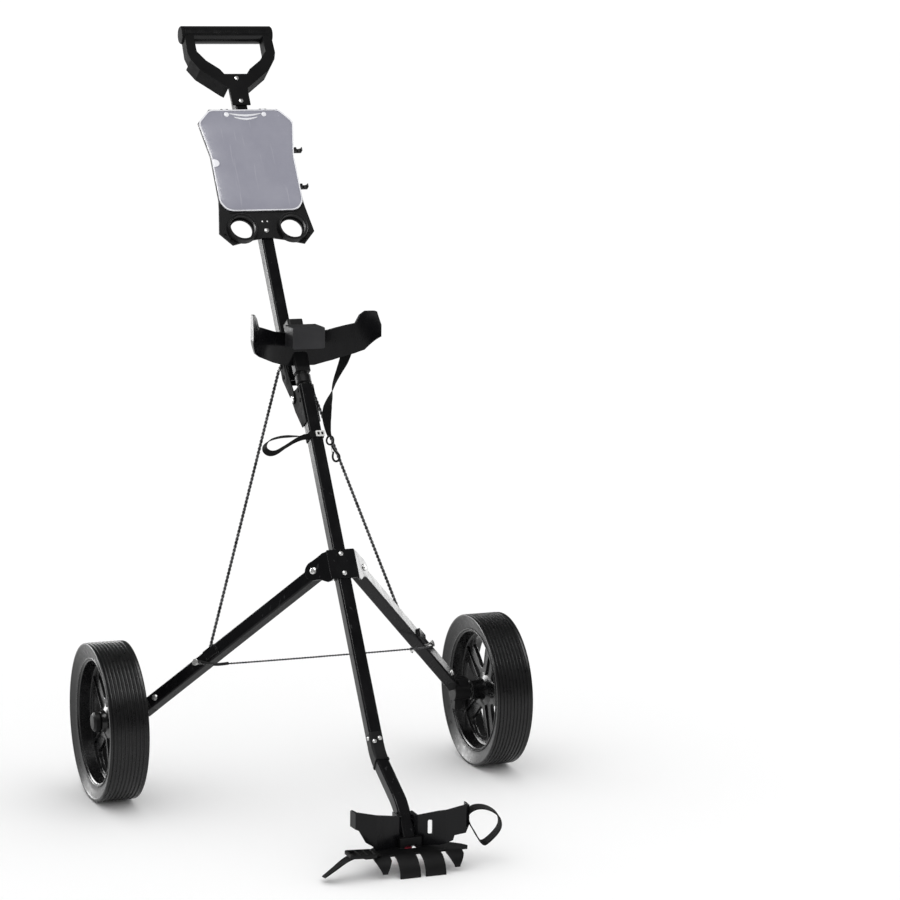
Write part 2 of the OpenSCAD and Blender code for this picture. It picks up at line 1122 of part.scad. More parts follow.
module axle_right() {
  color([0.6, 0.6, 0.61])
    translate([axle_x - 22, 0, wheel_r])
      rotate([0, 90, 0]) {
        cylinder(d = axle_d, h = half_track + 18 - axle_x + 22, $fn = 64);
        translate([0, 0, half_track + 18 - axle_x + 22])
          cylinder(d = 20, h = 2, $fn = 64);
      }
}

module axle_left() {
  mirror([1, 0, 0])
    axle_right();
}

module leg_bolts_right() {
  color([0.75, 0.75, 0.76])
    leg_frame() {
      // Through bolt: the strut hooks on its rear end, the tie on its front end.
      translate([236, 0, -half - 9])
        cylinder(d = 6, h = tube_w + 17, $fn = 40);
      translate([236, 0, -half - 9])
        cylinder(d = 9, h = 1.6, $fn = 40);
      translate([236, 0, half + 7])
        cylinder(d = 10, h = 2.4, $fn = 40);
      translate([326, 0, half])
        rivet(10, 2.2, 1);
    }
}

module leg_bolts_left() {
  mirror([1, 0, 0])
    leg_bolts_right();
}

// ---------- wheels ----------

module tyre_right() {
  w = tyre_w / 2;
  color([0.03, 0.03, 0.03])
    translate([half_track, 0, wheel_r])
      rotate([0, 90, 0])
        rotate_extrude($fn = 180)
          polygon([
            [98, -w + 3], [104, -w], [117.5, -w], [119.3, -w + 1], [wheel_r, -w + 4],
            [wheel_r, w - 4], [119.3, w - 1], [117.5, w], [104, w], [98, w - 3]
          ]);
}

module tyre_left() {
  mirror([1, 0, 0])
    tyre_right();
}

// One window of the wheel disc, seen along the axle.
module window() {
  hull() {
    translate([77, 0])
      scale([0.6, 1])
        circle(r = 13, $fn = 24);
    translate([70, 22])
      circle(r = 8, $fn = 24);
    translate([70, -22])
      circle(r = 8, $fn = 24);
    translate([38, 0])
      circle(r = 7, $fn = 24);
  }
}

module rim_right() {
  w = tyre_w / 2;
  color([0.05, 0.05, 0.052])
    translate([half_track, 0, wheel_r])
      rotate([0, 90, 0])
        difference() {
          union() {
            rotate_extrude($fn = 180)
              polygon([
                [97.95, -w + 3], [97.95, w - 3], [94, w - 1.5], [89, w - 3], [89, -w + 3],
                [94, -w + 1.5]
              ]);
            rotate_extrude($fn = 120)
              polygon([
                [axle_d / 2 + fit, -w + 1], [15, -w + 1], [17, -5], [24, -3], [89.5, -3],
                [89.5, 3], [24, 3], [17, 5], [15, w - 16], [axle_d / 2 + fit, w - 16]
              ]);
          }
          for (i = [0:windows - 1])
            rotate(i * 360 / windows + 54)
              translate([0, 0, -10])
                linear_extrude(20)
                  window();
        }
}

module rim_left() {
  mirror([1, 0, 0])
    rim_right();
}

module hub_cap_right() {
  color([0.04, 0.04, 0.042])
    translate([half_track + tyre_w / 2 - 16, 0, wheel_r])
      rotate([0, 90, 0])
        rotate_extrude($fn = 96)
          polygon([
            [11, 0.02], [14.5, 0.02], [16, 3], [15, 9], [11, 12], [0, 12.5], [0, 9.5],
            [11, 9.5]
          ]);
}

module hub_cap_left() {
  mirror([1, 0, 0])
    hub_cap_right();
}

// ---------- assembly ----------

translate([0, y_shift, 0]) {
  main_tube();
  joint_socket();
  lower_tube();
  joint_rivets();
  end_plug();
  leg_bracket();
  leg_bracket_rivets();
  leg_pins();
  hinge_bracket();
  hinge_rivets();
  hinge_pin();
  cradle_post();
  post_cap();
  upper_cradle();
  cradle_block();
  cradle_bolts();
  upper_strap();
  strap_hook();
  mast_strap();
  strap_buckle();
  foot_cradle();
  foot_shelf();
  foot_bolts();
  foot_loop();
  foot_strap();
  foot_buckle();
  strut_left();
  strut_right();
  tie_left();
  tie_right();
  handle_tube();
  handle_channel();
  channel_rivets();
  strut_pins();
  grip_frame();
  grip_bar();
  grip_caps();
  grip_rivets();
  console();
  ball_rings();
  console_rivets();
  cover_lugs();
  pencil_clips();
  card_cover();
  cover_pins();
  leg_left();
  axle_block_left();
  axle_left();
  leg_bolts_left();
  leg_right();
  axle_block_right();
  axle_right();
  leg_bolts_right();
  tyre_left();
  rim_left();
  hub_cap_left();
  tyre_right();
  rim_right();
  hub_cap_right();
}
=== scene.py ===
import json
import math

import bmesh
import bpy
from mathutils import Matrix, Vector


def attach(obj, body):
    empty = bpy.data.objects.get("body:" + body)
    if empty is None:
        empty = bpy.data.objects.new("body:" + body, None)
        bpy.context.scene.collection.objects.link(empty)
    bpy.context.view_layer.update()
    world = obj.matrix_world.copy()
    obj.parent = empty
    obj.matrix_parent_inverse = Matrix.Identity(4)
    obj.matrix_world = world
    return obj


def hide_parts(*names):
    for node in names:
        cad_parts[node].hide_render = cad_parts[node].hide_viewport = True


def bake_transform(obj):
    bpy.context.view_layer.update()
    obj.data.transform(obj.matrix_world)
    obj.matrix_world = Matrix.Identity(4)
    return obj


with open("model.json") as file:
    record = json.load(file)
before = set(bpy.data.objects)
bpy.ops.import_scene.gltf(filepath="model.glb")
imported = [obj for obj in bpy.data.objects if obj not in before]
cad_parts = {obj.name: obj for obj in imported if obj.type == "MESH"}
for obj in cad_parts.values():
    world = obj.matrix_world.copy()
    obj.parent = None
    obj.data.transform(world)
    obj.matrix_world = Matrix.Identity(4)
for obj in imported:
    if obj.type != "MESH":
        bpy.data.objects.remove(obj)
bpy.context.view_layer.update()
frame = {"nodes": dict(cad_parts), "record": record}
nodes = frame["nodes"]

MM = Matrix.Scale(0.001, 4)
AXLE_Y = 0.057385
WHEEL_X = 0.308
WHEEL_R = 0.12
MAST_LEAN = 34
# Two millimetre frames. CART has its origin on the floor under the axle. MAST has z up the mast's
# length, x to its right and -y out of its front face.
CART = Matrix.Translation((0, AXLE_Y, 0)) @ MM
MAST = Matrix.Translation((0, -0.250615, 0.1681)) @ Matrix.Rotation(math.radians(-MAST_LEAN), 4, "X") @ MM
MIRROR = Matrix.Diagonal((-1, 1, 1, 1))
SIDES = (("right", Matrix.Identity(4)), ("left", MIRROR))


def leg_matrix():
    """The right leg's own frame: x down the leg, z out of its front face, in millimetres."""
    b, s = math.radians(49.3), math.radians(73.3)
    u = (math.sin(s) * math.cos(b), math.sin(s) * math.sin(b), -math.cos(s))
    v = (math.cos(s) * math.cos(b), math.cos(s) * math.sin(b), math.sin(s))
    w = (math.sin(b), -math.cos(b), 0)
    rows = [[u[i], v[i], w[i], (30.1, 17.1, 245)[i]] for i in range(3)]
    return MAST @ Matrix(rows + [[0, 0, 0, 1]])


LEG_RIGHT = leg_matrix()


# ---------- camera ----------


def make_camera():
    azimuth, elevation, roll = (math.radians(a) for a in (21.83, 9.596, 0.737))
    ahead = Vector((
        math.sin(azimuth) * math.cos(elevation),
        math.cos(azimuth) * math.cos(elevation),
        -math.sin(elevation),
    ))
    right = Vector((math.cos(azimuth), -math.sin(azimuth), 0))
    up = right.cross(ahead)
    right, up = (
        right * math.cos(roll) + up * math.sin(roll),
        up * math.cos(roll) - right * math.sin(roll),
    )
    data = bpy.data.cameras.new("camera")
    data.sensor_width = 36
    data.lens = 120.04
    data.clip_end = 100
    cam = bpy.data.objects.new("camera", data)
    bpy.context.scene.collection.objects.link(cam)
    rows = [[right[i], up[i], -ahead[i]] for i in range(3)]
    cam.matrix_world = Matrix.Translation((-1.4701, -4.2142, 1.2848)) @ Matrix(rows).to_4x4()
    bpy.context.scene.camera = cam


make_camera()


# ---------- materials ----------


class Shader:
    """A node material with a few shorthands."""

    def __init__(self, name):
        self.mat = bpy.data.materials.new(name)
        self.mat.use_nodes = True
        self.tree = self.mat.node_tree
        self.bsdf = self.tree.nodes["Principled BSDF"]

    def node(self, kind, values=None, **props):
        n = self.tree.nodes.new("ShaderNode" + kind)
        for k, v in props.items():
            setattr(n, k, v)
        for k, v in (values or {}).items():
            self.put(n.inputs[k], v)
        return n

    def put(self, socket, value):
        if isinstance(value, bpy.types.NodeSocket):
            self.tree.links.new(value, socket)
        else:
            socket.default_value = value

    def set(self, **values):
        for k, v in values.items():
            self.put(self.bsdf.inputs[k.replace("_", " ")], v)

    def coords(self, stretch=(1, 1, 1)):
        tc = self.node("TexCoord")
        return self.node("Mapping", {"Vector": tc.outputs["Object"], "Scale": stretch}).outputs[0]

    def uv(self, stretch=(1, 1, 1)):
        tc = self.node("TexCoord")
        return self.node("Mapping", {"Vector": tc.outputs["UV"], "Scale": stretch}).outputs[0]

    def noise(self, scale, detail=4, rough=0.55, vector=None, stretch=(1, 1, 1)):
        v = vector or self.coords(stretch)
        n = self.node("TexNoise", {"Vector": v, "Scale": scale, "Detail": detail, "Roughness": rough})
        return n.outputs[0]

    def ramp(self, value, low, high, a=0.0, b=1.0):
        n = self.node("MapRange", {0: value, 1: low, 2: high, 3: a, 4: b})
        n.clamp = True
        return n.outputs[0]

    def math(self, op, a, b=0.0):
        return self.node("Math", {0: a, 1: b}, operation=op).outputs[0]

    def mix(self, factor, a, b):
        n = self.node("Mix", {0: factor}, data_type="RGBA")
        self.put(n.inputs[6], a if isinstance(a, bpy.types.NodeSocket) else (*a, 1))
        self.put(n.inputs[7], b if isinstance(b, bpy.types.NodeSocket) else (*b, 1))
        return n.outputs[2]

    def edge(self, radius, gain):
        """Rounded normal at the edges, and a mask that is 1 along them."""
        bevel = self.node("Bevel", {"Radius": radius}, samples=4)
        geo = self.node("NewGeometry")
        dot = self.node(
            "VectorMath", {0: bevel.outputs[0], 1: geo.outputs["Normal"]}, operation="DOT_PRODUCT"
        ).outputs["Value"]
        mask = self.ramp(self.math("MULTIPLY", self.math("SUBTRACT", 1.0, dot), gain), 0.15, 1.0)
        return bevel.outputs[0], mask

    def bump(self, height, strength, distance, normal=None):
        values = {"Height": height, "Strength": strength, "Distance": distance}
        if normal is not None:
            values["Normal"] = normal
        self.put(self.bsdf.inputs["Normal"], self.node("Bump", values).outputs[0])


def enamel():
    """Black gloss enamel: faint orange peel, handling smears, greyed edges and a few hairline scuffs."""
    s = Shader("black_enamel")
    normal, edge = s.edge(0.0012, 6)
    blotch = s.noise(9, 3)
    smear = s.noise(55, 5, 0.65, stretch=(1, 1, 0.25))
    chips = s.ramp(s.noise(420, 4), 0.55, 0.68)
    wear = s.math("MULTIPLY", edge, chips)
    scratch = s.ramp(s.noise(160, 2, 0.4, stretch=(1, 1, 0.03)), 0.70, 0.74)
    base = s.mix(s.ramp(blotch, 0.35, 0.7), (0.0025, 0.0025, 0.003), (0.0055, 0.0055, 0.0062))
    base = s.mix(s.math("MULTIPLY", edge, 0.3), base, (0.04, 0.04, 0.043))
    base = s.mix(s.math("MULTIPLY", wear, 0.6), base, (0.20, 0.20, 0.205))
    base = s.mix(s.math("MULTIPLY", scratch, 0.25), base, (0.07, 0.07, 0.073))
    rough = s.math("ADD", s.ramp(smear, 0.3, 0.75, 0.16, 0.34), s.math("MULTIPLY", wear, 0.3))
    s.set(Base_Color=base, Roughness=rough, Specular_IOR_Level=0.16)
    s.set(Coat_Weight=0.05, Coat_Roughness=0.12)
    s.bump(s.noise(900, 2), 0.12, 0.0002, normal)
    return s.mat


def moulded(name, dark, light, rough, grain=0.35, coat=0.0, gloss=0.2):
    """Injection-moulded plastic with a fine spark grain and rubbed corners."""
    s = Shader(name)
    normal, edge = s.edge(0.0014, 5)
    blotch = s.noise(14, 4)
    rub = s.math("MULTIPLY", edge, s.ramp(s.noise(120, 4), 0.3, 0.7))
    base = s.mix(s.ramp(blotch, 0.3, 0.7), dark, light)
    base = s.mix(s.math("MULTIPLY", rub, 0.5), base, tuple(min(1, c * 3 + 0.02) for c in light))
    s.set(Base_Color=base, Specular_IOR_Level=gloss, Coat_Weight=coat, Coat_Roughness=0.2)
    s.set(Roughness=s.ramp(s.noise(70, 5), 0.3, 0.7, rough - 0.07, rough + 0.1))
    cells = s.node("TexVoronoi", {"Vector": s.coords(), "Scale": 1500}).outputs["Distance"]
    height = s.math("ADD", s.math("MULTIPLY", cells, 0.5), s.noise(2600, 2))
    s.bump(height, grain, 0.0002, normal)
    return s.mat


def zinc():
    """Zinc-plated steel: bright, slightly spangled, with a dull film and tiny pits."""
    s = Shader("zinc_plated")
    normal, edge = s.edge(0.0008, 5)
    spangle = s.node("TexVoronoi", {"Vector": s.coords(), "Scale": 420}).outputs["Color"]
    tone = s.node("RGBToBW", {0: spangle}).outputs[0]
    base = s.mix(s.ramp(tone, 0.2, 0.8), (0.72, 0.72, 0.71), (0.90, 0.90, 0.89))
    film = s.ramp(s.noise(260, 5), 0.45, 0.7)
    base = s.mix(s.math("MULTIPLY", film, 0.45), base, (0.46, 0.46, 0.45))
    s.set(Base_Color=base, Metallic=0.92, Roughness=s.ramp(s.noise(300, 4), 0.3, 0.7, 0.22, 0.42))
    s.bump(s.noise(1200, 3), 0.25, 0.0001, normal)
    return s.mat


def wire_steel():
    """Galvanised stranded wire: bright crowns, oily dark valleys, fine drawing lines."""
    s = Shader("wire_steel")
    lines = s.noise(700, 3, 0.6, s.uv((6, 0.4, 1)))
    grime = s.ramp(s.noise(90, 4), 0.4, 0.65)
    base = s.mix(s.ramp(lines, 0.3, 0.7), (0.05, 0.05, 0.052), (0.20, 0.20, 0.205))
    base = s.mix(s.math("MULTIPLY", grime, 0.85), base, (0.012, 0.012, 0.012))
    s.set(Base_Color=base, Metallic=0.85, Roughness=s.ramp(lines, 0.3, 0.7, 0.28, 0.48))
    s.bump(lines, 0.3, 0.0001)
    return s.mat


def webbing():
    """Black polypropylene webbing: a plain weave of flat yarns, fuzzed and a little dusty."""
    s = Shader("black_webbing")
    u = s.node("SeparateXYZ", {0: s.uv()})
    across = s.math("SINE", s.math("MULTIPLY", u.outputs[1], 2 * math.pi / 0.0016))
    along = s.math("SINE", s.math("MULTIPLY", u.outputs[0], 2 * math.pi / 0.0022))
    check = s.math("MULTIPLY", across, along)
    yarn = s.math("ADD", s.math("MULTIPLY", check, 0.5), s.math("ABSOLUTE", across))
    fuzz = s.noise(1800, 5, 0.7)
    base = s.mix(s.ramp(yarn, -0.3, 1.3), (0.001, 0.001, 0.0011), (0.005, 0.005, 0.0053))
    base = s.mix(s.math("MULTIPLY", s.ramp(fuzz, 0.5, 0.75), 0.3), base, (0.055, 0.054, 0.053))
    s.set(Base_Color=base, Roughness=s.ramp(fuzz, 0.3, 0.7, 0.62, 0.85))
    s.set(Sheen_Weight=0.02, Sheen_Roughness=0.5, Specular_IOR_Level=0.12)
    s.bump(s.math("ADD", yarn, s.math("MULTIPLY", fuzz, 0.4)), 0.6, 0.0004)
    return s.mat


def rubber():
    """Tread compound: dull black with a bloom, mould speckle and scuffed rib crowns."""
    s = Shader("tread_rubber")
    normal, edge = s.edge(0.0007, 6)
    bloom = s.noise(18, 5, 0.6)
    base = s.mix(s.ramp(bloom, 0.3, 0.72), (0.0035, 0.0035, 0.0038), (0.009, 0.009, 0.0095))
    scuff = s.math("MULTIPLY", edge, s.ramp(s.noise(200, 4), 0.4, 0.65))
    base = s.mix(s.math("MULTIPLY", scuff, 0.3), base, (0.05, 0.049, 0.048))
    s.set(Base_Color=base, Roughness=s.ramp(s.noise(130, 5), 0.3, 0.7, 0.24, 0.4))
    s.set(Specular_IOR_Level=0.35)
    s.bump(s.noise(1500, 3), 0.15, 0.0002, normal)
    return s.mat


def cover_sheet():
    """Clear acrylic sheet over the card: a pale lavender painted reflection, a paler rim that is a painted
    highlight, soft haze and hairlines.
    """
    s = Shader("cover_painted_reflection")
    normal, edge = s.edge(0.0016, 7)
    haze = s.noise(16, 4, 0.6)
    # Painted reflection: the pale lavender base colour stands in for the bright room mirrored in the sheet.
    base = s.mix(s.ramp(haze, 0.3, 0.7), (0.315, 0.315, 0.375), (0.365, 0.365, 0.425))
    # Painted highlight: the sheet's edges are painted nearly white.
    base = s.mix(edge, base, (0.86, 0.86, 0.90))
    hair = s.ramp(s.noise(240, 2, 0.5, stretch=(1, 0.05, 0.05)), 0.66, 0.72)
    base = s.mix(s.math("MULTIPLY", hair, 0.12), base, (0.8, 0.8, 0.85))
    s.set(Base_Color=base, Roughness=s.ramp(s.noise(40, 4), 0.3, 0.7, 0.10, 0.22))
    s.set(Transmission_Weight=0.12, Coat_Weight=0.6, Coat_Roughness=0.05)
    s.bump(s.noise(30, 2), 0.05, 0.001, normal)
    return s.mat


ENAMEL = enamel()
PLASTIC = moulded("black_moulding", (0.0035, 0.0035, 0.004), (0.0075, 0.0075, 0.008), 0.45)
GREY = moulded("grey_moulding", (0.018, 0.018, 0.020), (0.030, 0.030, 0.032), 0.48, 0.5)
WHEEL = moulded("wheel_moulding", (0.003, 0.003, 0.0033), (0.008, 0.008, 0.0085), 0.24, 0.2, 0.15, 0.3)
GRIP = moulded("grip_moulding", (0.003, 0.003, 0.0033), (0.006, 0.006, 0.0065), 0.22, 0.25, 0.1, 0.25)
RED = moulded("red_moulding", (0.42, 0.02, 0.05), (0.60, 0.04, 0.08), 0.38)
PALE = moulded("pale_moulding", (0.62, 0.62, 0.61), (0.78, 0.78, 0.77), 0.35)
ZINC = zinc()
WIRE = wire_steel()
WEB = webbing()
RUBBER = rubber()
MATTE = moulded("matte_black", (0.002, 0.002, 0.0022), (0.005, 0.005, 0.0055), 0.7, gloss=0.1)
COVER = cover_sheet()
# Pale acrylic for the hinge barrels, studs and thumb lift; on the cover's rim and ribs its pale colour is a
# painted highlight.
EDGE = moulded("pale_acrylic_and_painted_highlight", (0.74, 0.74, 0.78), (0.88, 0.88, 0.91), 0.18, 0.06, 0.5)
SLEEVE = moulded("black_sleeve", (0.006, 0.006, 0.006), (0.012, 0.012, 0.012), 0.45, 0.3)

FINISH = {
    "black_paint": ENAMEL,
    "black_plastic": PLASTIC,
    "grey_plastic": GREY,
    "grip": GRIP,
    "bare_steel": ZINC,
    "webbing": WEB,
    "wire_rope": WIRE,
    "red_plug": RED,
    "pale_buckle": PALE,
    "clear_cover": COVER,
    "tyre": RUBBER,
    "wheel_plastic": WHEEL,
}
for part in frame["record"]["subparts"]:
    obj = nodes[part["node"]]
    obj.data.materials.clear()
    obj.data.materials.append(FINISH[part["material_slot"]])
# The hinge's pressings, their rivets and the grip's frame are satin black, not gloss.
for name in ("hinge_bracket", "handle_channel", "hinge_rivets", "channel_rivets", "grip_caps", "grip_frame"):
    nodes[name].data.materials[0] = MATTE


# ---------- mesh helpers ----------


def piece(name, verts, faces, matrix, material, body=None, slot=None, uvs=None, sharp=40):
    """A mesh object from points in millimetres, placed by matrix."""
    mesh = bpy.data.meshes.new(name)
    mesh.from_pydata([matrix @ Vector(v) for v in verts], [], faces)
    if uvs:
        layer = mesh.uv_layers.new(name="UVMap")
        for loop in mesh.loops:
            layer.data[loop.index].uv = uvs[loop.vertex_index]
    bm = bmesh.new()
    bm.from_mesh(mesh)
    bmesh.ops.recalc_face_normals(bm, faces=bm.faces)
    bm.to_mesh(mesh)
    bm.free()
    for p in mesh.polygons:
        p.use_smooth = True
    mesh.set_sharp_from_angle(angle=math.radians(sharp))
    mesh.materials.append(material)
    obj = bpy.data.objects.new(name, mesh)
    bpy.context.scene.collection.objects.link(obj)
    if body:
        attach(obj, body)
    return obj


def lathe(name, profile, matrix, material, steps=128, **kw):
    """A closed outline of (x, r) turned about the x axis."""
    verts, faces, uvs = [], [], []
    n = len(profile)
    for i in range(steps):
        a = 2 * math.pi * i / steps
        for x, r in profile:
            verts.append((x, r * math.cos(a), r * math.sin(a)))
            uvs.append((a * 0.1, x * 0.001))
    for i in range(steps):
        for j in range(n):
            a, b = i * n, (i + 1) % steps * n
            k = (j + 1) % n
            faces.append((a + j, a + k, b + k, b + j))
    return piece(name, verts, faces, matrix, material, uvs=uvs, **kw)


def solid_lathe(name, profile, matrix, material, steps=64, **kw):
    """A profile of (x, r) from axis to axis, turned about the x axis."""
    inner = profile[1:-1]
    n = len(inner)
    verts = [(profile[0][0], 0, 0), (profile[-1][0], 0, 0)]
    faces = []
    for i in range(steps):
        a = 2 * math.pi * i / steps
        verts += [(x, r * math.cos(a), r * math.sin(a)) for x, r in inner]
    for i in range(steps):
        a, b = 2 + i * n, 2 + (i + 1) % steps * n
        faces.append((0, a, b))
        faces.append((1, b + n - 1, a + n - 1))
        for j in range(n - 1):
            faces.append((a + j, a + j + 1, b + j + 1, b + j))
    return piece(name, verts, faces, matrix, material, **kw)


def spline(points, count, closed=False):
    """Points evenly spread along a smooth curve through the given ones."""
    pts = [Vector(p) for p in points]
    n = len(pts)
    dense = []
    last = n if closed else n - 1
    for i in range(last):
        p = [pts[(i + k) % n] if closed else pts[min(max(i + k, 0), n - 1)] for k in (-1, 0, 1, 2)]
        for j in range(24):
            t = j / 24
            dense.append(0.5 * (
                2 * p[1] + (p[2] - p[0]) * t
                + (2 * p[0] - 5 * p[1] + 4 * p[2] - p[3]) * t * t
                + (3 * p[1] - p[0] - 3 * p[2] + p[3]) * t ** 3
            ))
    dense.append(pts[0] if closed else pts[-1])
    far = [0.0]
    for a, b in zip(dense, dense[1:]):
        far.append(far[-1] + (b - a).length)
    out, k = [], 0
    for i in range(count + (0 if closed else 1)):
        want = far[-1] * i / count
        while k < len(far) - 2 and far[k + 1] < want:
            k += 1
        t = (want - far[k]) / max(far[k + 1] - far[k], 1e-9)
        out.append(dense[k].lerp(dense[k + 1], t))
    return out


def lerp_list(values, t):
    x = t * (len(values) - 1)
    i = min(int(x), len(values) - 2)
    return values[i] + (values[i + 1] - values[i]) * (x - i)


def sweep(name, path, section, matrix, material, side=(0, 1, 0), closed=False,
          widths=(1, 1), twist=(0, 0), carried=False, **kw):
    """A section of (across, out) drawn along a path. side is the direction that across takes."""
    path = [Vector(p) for p in path]
    n, m = len(path), len(section)
    verts, uvs, faces = [], [], []
    length = 0.0
    around = [0.0]
    for a, b in zip(section, section[1:]):
        around.append(around[-1] + math.hypot(b[0] - a[0], b[1] - a[1]))
    across = Vector(side)
    for i, p in enumerate(path):
        before = path[i - 1] if i or closed else p
        after = path[(i + 1) % n] if i < n - 1 or closed else p
        t = (after - before).normalized()
        if i:
            length += (p - path[i - 1]).length
        ref = across if carried else Vector(side)
        a = (ref - t * ref.dot(t)).normalized()
        across = a
        o = t.cross(a)
        f = i / (n if closed else n - 1)
        w, angle = lerp_list(widths, f), math.radians(lerp_list(twist, f))
        a, o = a * math.cos(angle) + o * math.sin(angle), o * math.cos(angle) - a * math.sin(angle)
        for k, (x, y) in enumerate(section):
            verts.append(p + a * x * w + o * y)
            uvs.append((length * 0.001, around[k] * 0.001))
    for i in range(n if closed else n - 1):
        for j in range(m):
            q, r, k = i * m, (i + 1) % n * m, (j + 1) % m
            faces.append((q + j, q + k, r + k, r + j))
    if not closed:
        faces.append(tuple(range(m)))
        faces.append(tuple(range((n - 1) * m, n * m)))
    return piece(name, verts, faces, matrix, material, uvs=uvs, **kw)


def ellipse(a, b, steps):
    turns = (2 * math.pi * i / steps for i in range(steps))
    return [(a * math.cos(t), b * math.sin(t)) for t in turns]


def ring(radius, steps=12):
    return ellipse(radius, radius, steps)


def strap_section(width, thick):
    """A flat webbing section with soft selvedges and slightly thicker edges."""
    h, t = width / 2, thick / 2
    top = [(-h, 0), (-h + 0.5, t), (-h * 0.6, t * 0.9), (0, t * 0.85), (h * 0.6, t * 0.9), (h - 0.5, t)]
    return top + [(h, 0)] + [(x, -y) for x, y in reversed(top[1:])]


def rounded_outline(points, radius, steps=5):
    """A closed outline with its corners turned into arcs."""
    out = []
    n = len(points)
    for i in range(n):
        p = Vector(points[i])
        a, b = Vector(points[i - 1]) - p, Vector(points[(i + 1) % n]) - p
        r = min(radius, a.length * 0.45, b.length * 0.45)
        a, b = p + a.normalized() * r, p + b.normalized() * r
        for k in range(steps + 1):
            t = k / steps
            q = a * (1 - t) ** 2 + p * 2 * t * (1 - t) + b * t * t
            out.append((q.x, q.y))
    return out


def mirrored(points):
    return points + [(-x, y) for x, y in reversed(points)]


def plate(name, outlines, thick, matrix, material, bevel=0.4, sharp=50, **kw):
    """A flat plate with rounded edges: the first outline less the others, z from 0 to thick."""
    curve = bpy.data.curves.new(name, "CURVE")
    curve.dimensions = "2D"
    curve.fill_mode = "BOTH"
    for points in outlines:
        sp = curve.splines.new("POLY")
        sp.points.add(len(points) - 1)
        for p, q in zip(sp.points, points):
            p.co = (q[0], q[1], 0, 1)
        sp.use_cyclic_u = True
    curve.extrude = thick / 2 - bevel
    curve.bevel_depth = bevel
    curve.offset = -bevel
    curve.bevel_resolution = 2
    holder = bpy.data.objects.new(name + ".curve", curve)
    bpy.context.scene.collection.objects.link(holder)
    bpy.context.view_layer.update()
    raw = bpy.data.meshes.new_from_object(holder.evaluated_get(bpy.context.evaluated_depsgraph_get()))
    bm = bmesh.new()
    bm.from_mesh(raw)
    bmesh.ops.remove_doubles(bm, verts=bm.verts, dist=0.001)
    verts = [(v.co.x, v.co.y, v.co.z + thick / 2) for v in bm.verts]
    bm.verts.index_update()
    faces = [tuple(v.index for v in f.verts) for f in bm.faces]
    bm.free()
    bpy.data.objects.remove(holder)
    bpy.data.curves.remove(curve)
    bpy.data.meshes.remove(raw)
    return piece(name, verts, faces, matrix, material, sharp=sharp, **kw)


# ---------- wires ----------


def from_leg(along, up, out):
    return LEG_RIGHT @ Vector((along, up, out))


STRUT_TOP = MAST @ Vector((15.8, 37, 604.4))
STRUT_FOOT = from_leg(236, 5.4, -15)
TIE_BOLT = from_leg(230.6, -2, 16)
TIE_EDGE = from_leg(212, -20, 12)
TIE_MID = Vector((0, TIE_EDGE.y, TIE_EDGE.z - 0.001))
# Thickness of one strand and length of one full turn, in millimetres.
STRAND, LAY = 2.7, 12
TIE_STRAND, TIE_LAY = 1.5, 9


def twisted(name, path, strand, pitch, side_of, **kw):
    """Two strands laid round each other along a path in metres."""
    path = [Vector(p) * 1000 for p in path]
    pts = spline(path, max(24, int(sum((b - a).length for a, b in zip(path, path[1:])) / pitch * 12)))
    verts, faces, uvs = [], [], []
    for phase in (0, math.pi):
        start = len(verts)
        far, side = 0.0, Vector((0, 1, 0))
        for i, p in enumerate(pts):
            t = (pts[min(i + 1, len(pts) - 1)] - pts[max(i - 1, 0)]).normalized()
            side = (side - t * side.dot(t)).normalized()
            other = t.cross(side)
            if i:
                far += (p - pts[i - 1]).length
            turn = phase + 2 * math.pi * far / pitch
            out = side * math.cos(turn) + other * math.sin(turn)
            lay = t.cross(out)
            axis = (t + lay * (2 * math.pi * strand * 0.5 / pitch)).normalized()
            over = axis.cross(out)
            centre = p + out * strand * 0.5
            for k in range(8):
                c, s = math.cos(k * math.pi / 4), math.sin(k * math.pi / 4)
                verts.append(centre + (out * c + over * s) * strand / 2)
                uvs.append((far * 0.001, k * strand * 0.0004))
        for i in range(len(pts) - 1):
            for k in range(8):
                a, b = start + i * 8, start + (i + 1) * 8
                faces.append((a + k, a + (k + 1) % 8, b + (k + 1) % 8, b + k))
        faces.append(tuple(range(start, start + 8)))
        faces.append(tuple(range(len(verts) - 8, len(verts))))
    return piece(name, verts, faces, side_of @ MM, WIRE, slot="wire_rope", uvs=uvs, **kw)


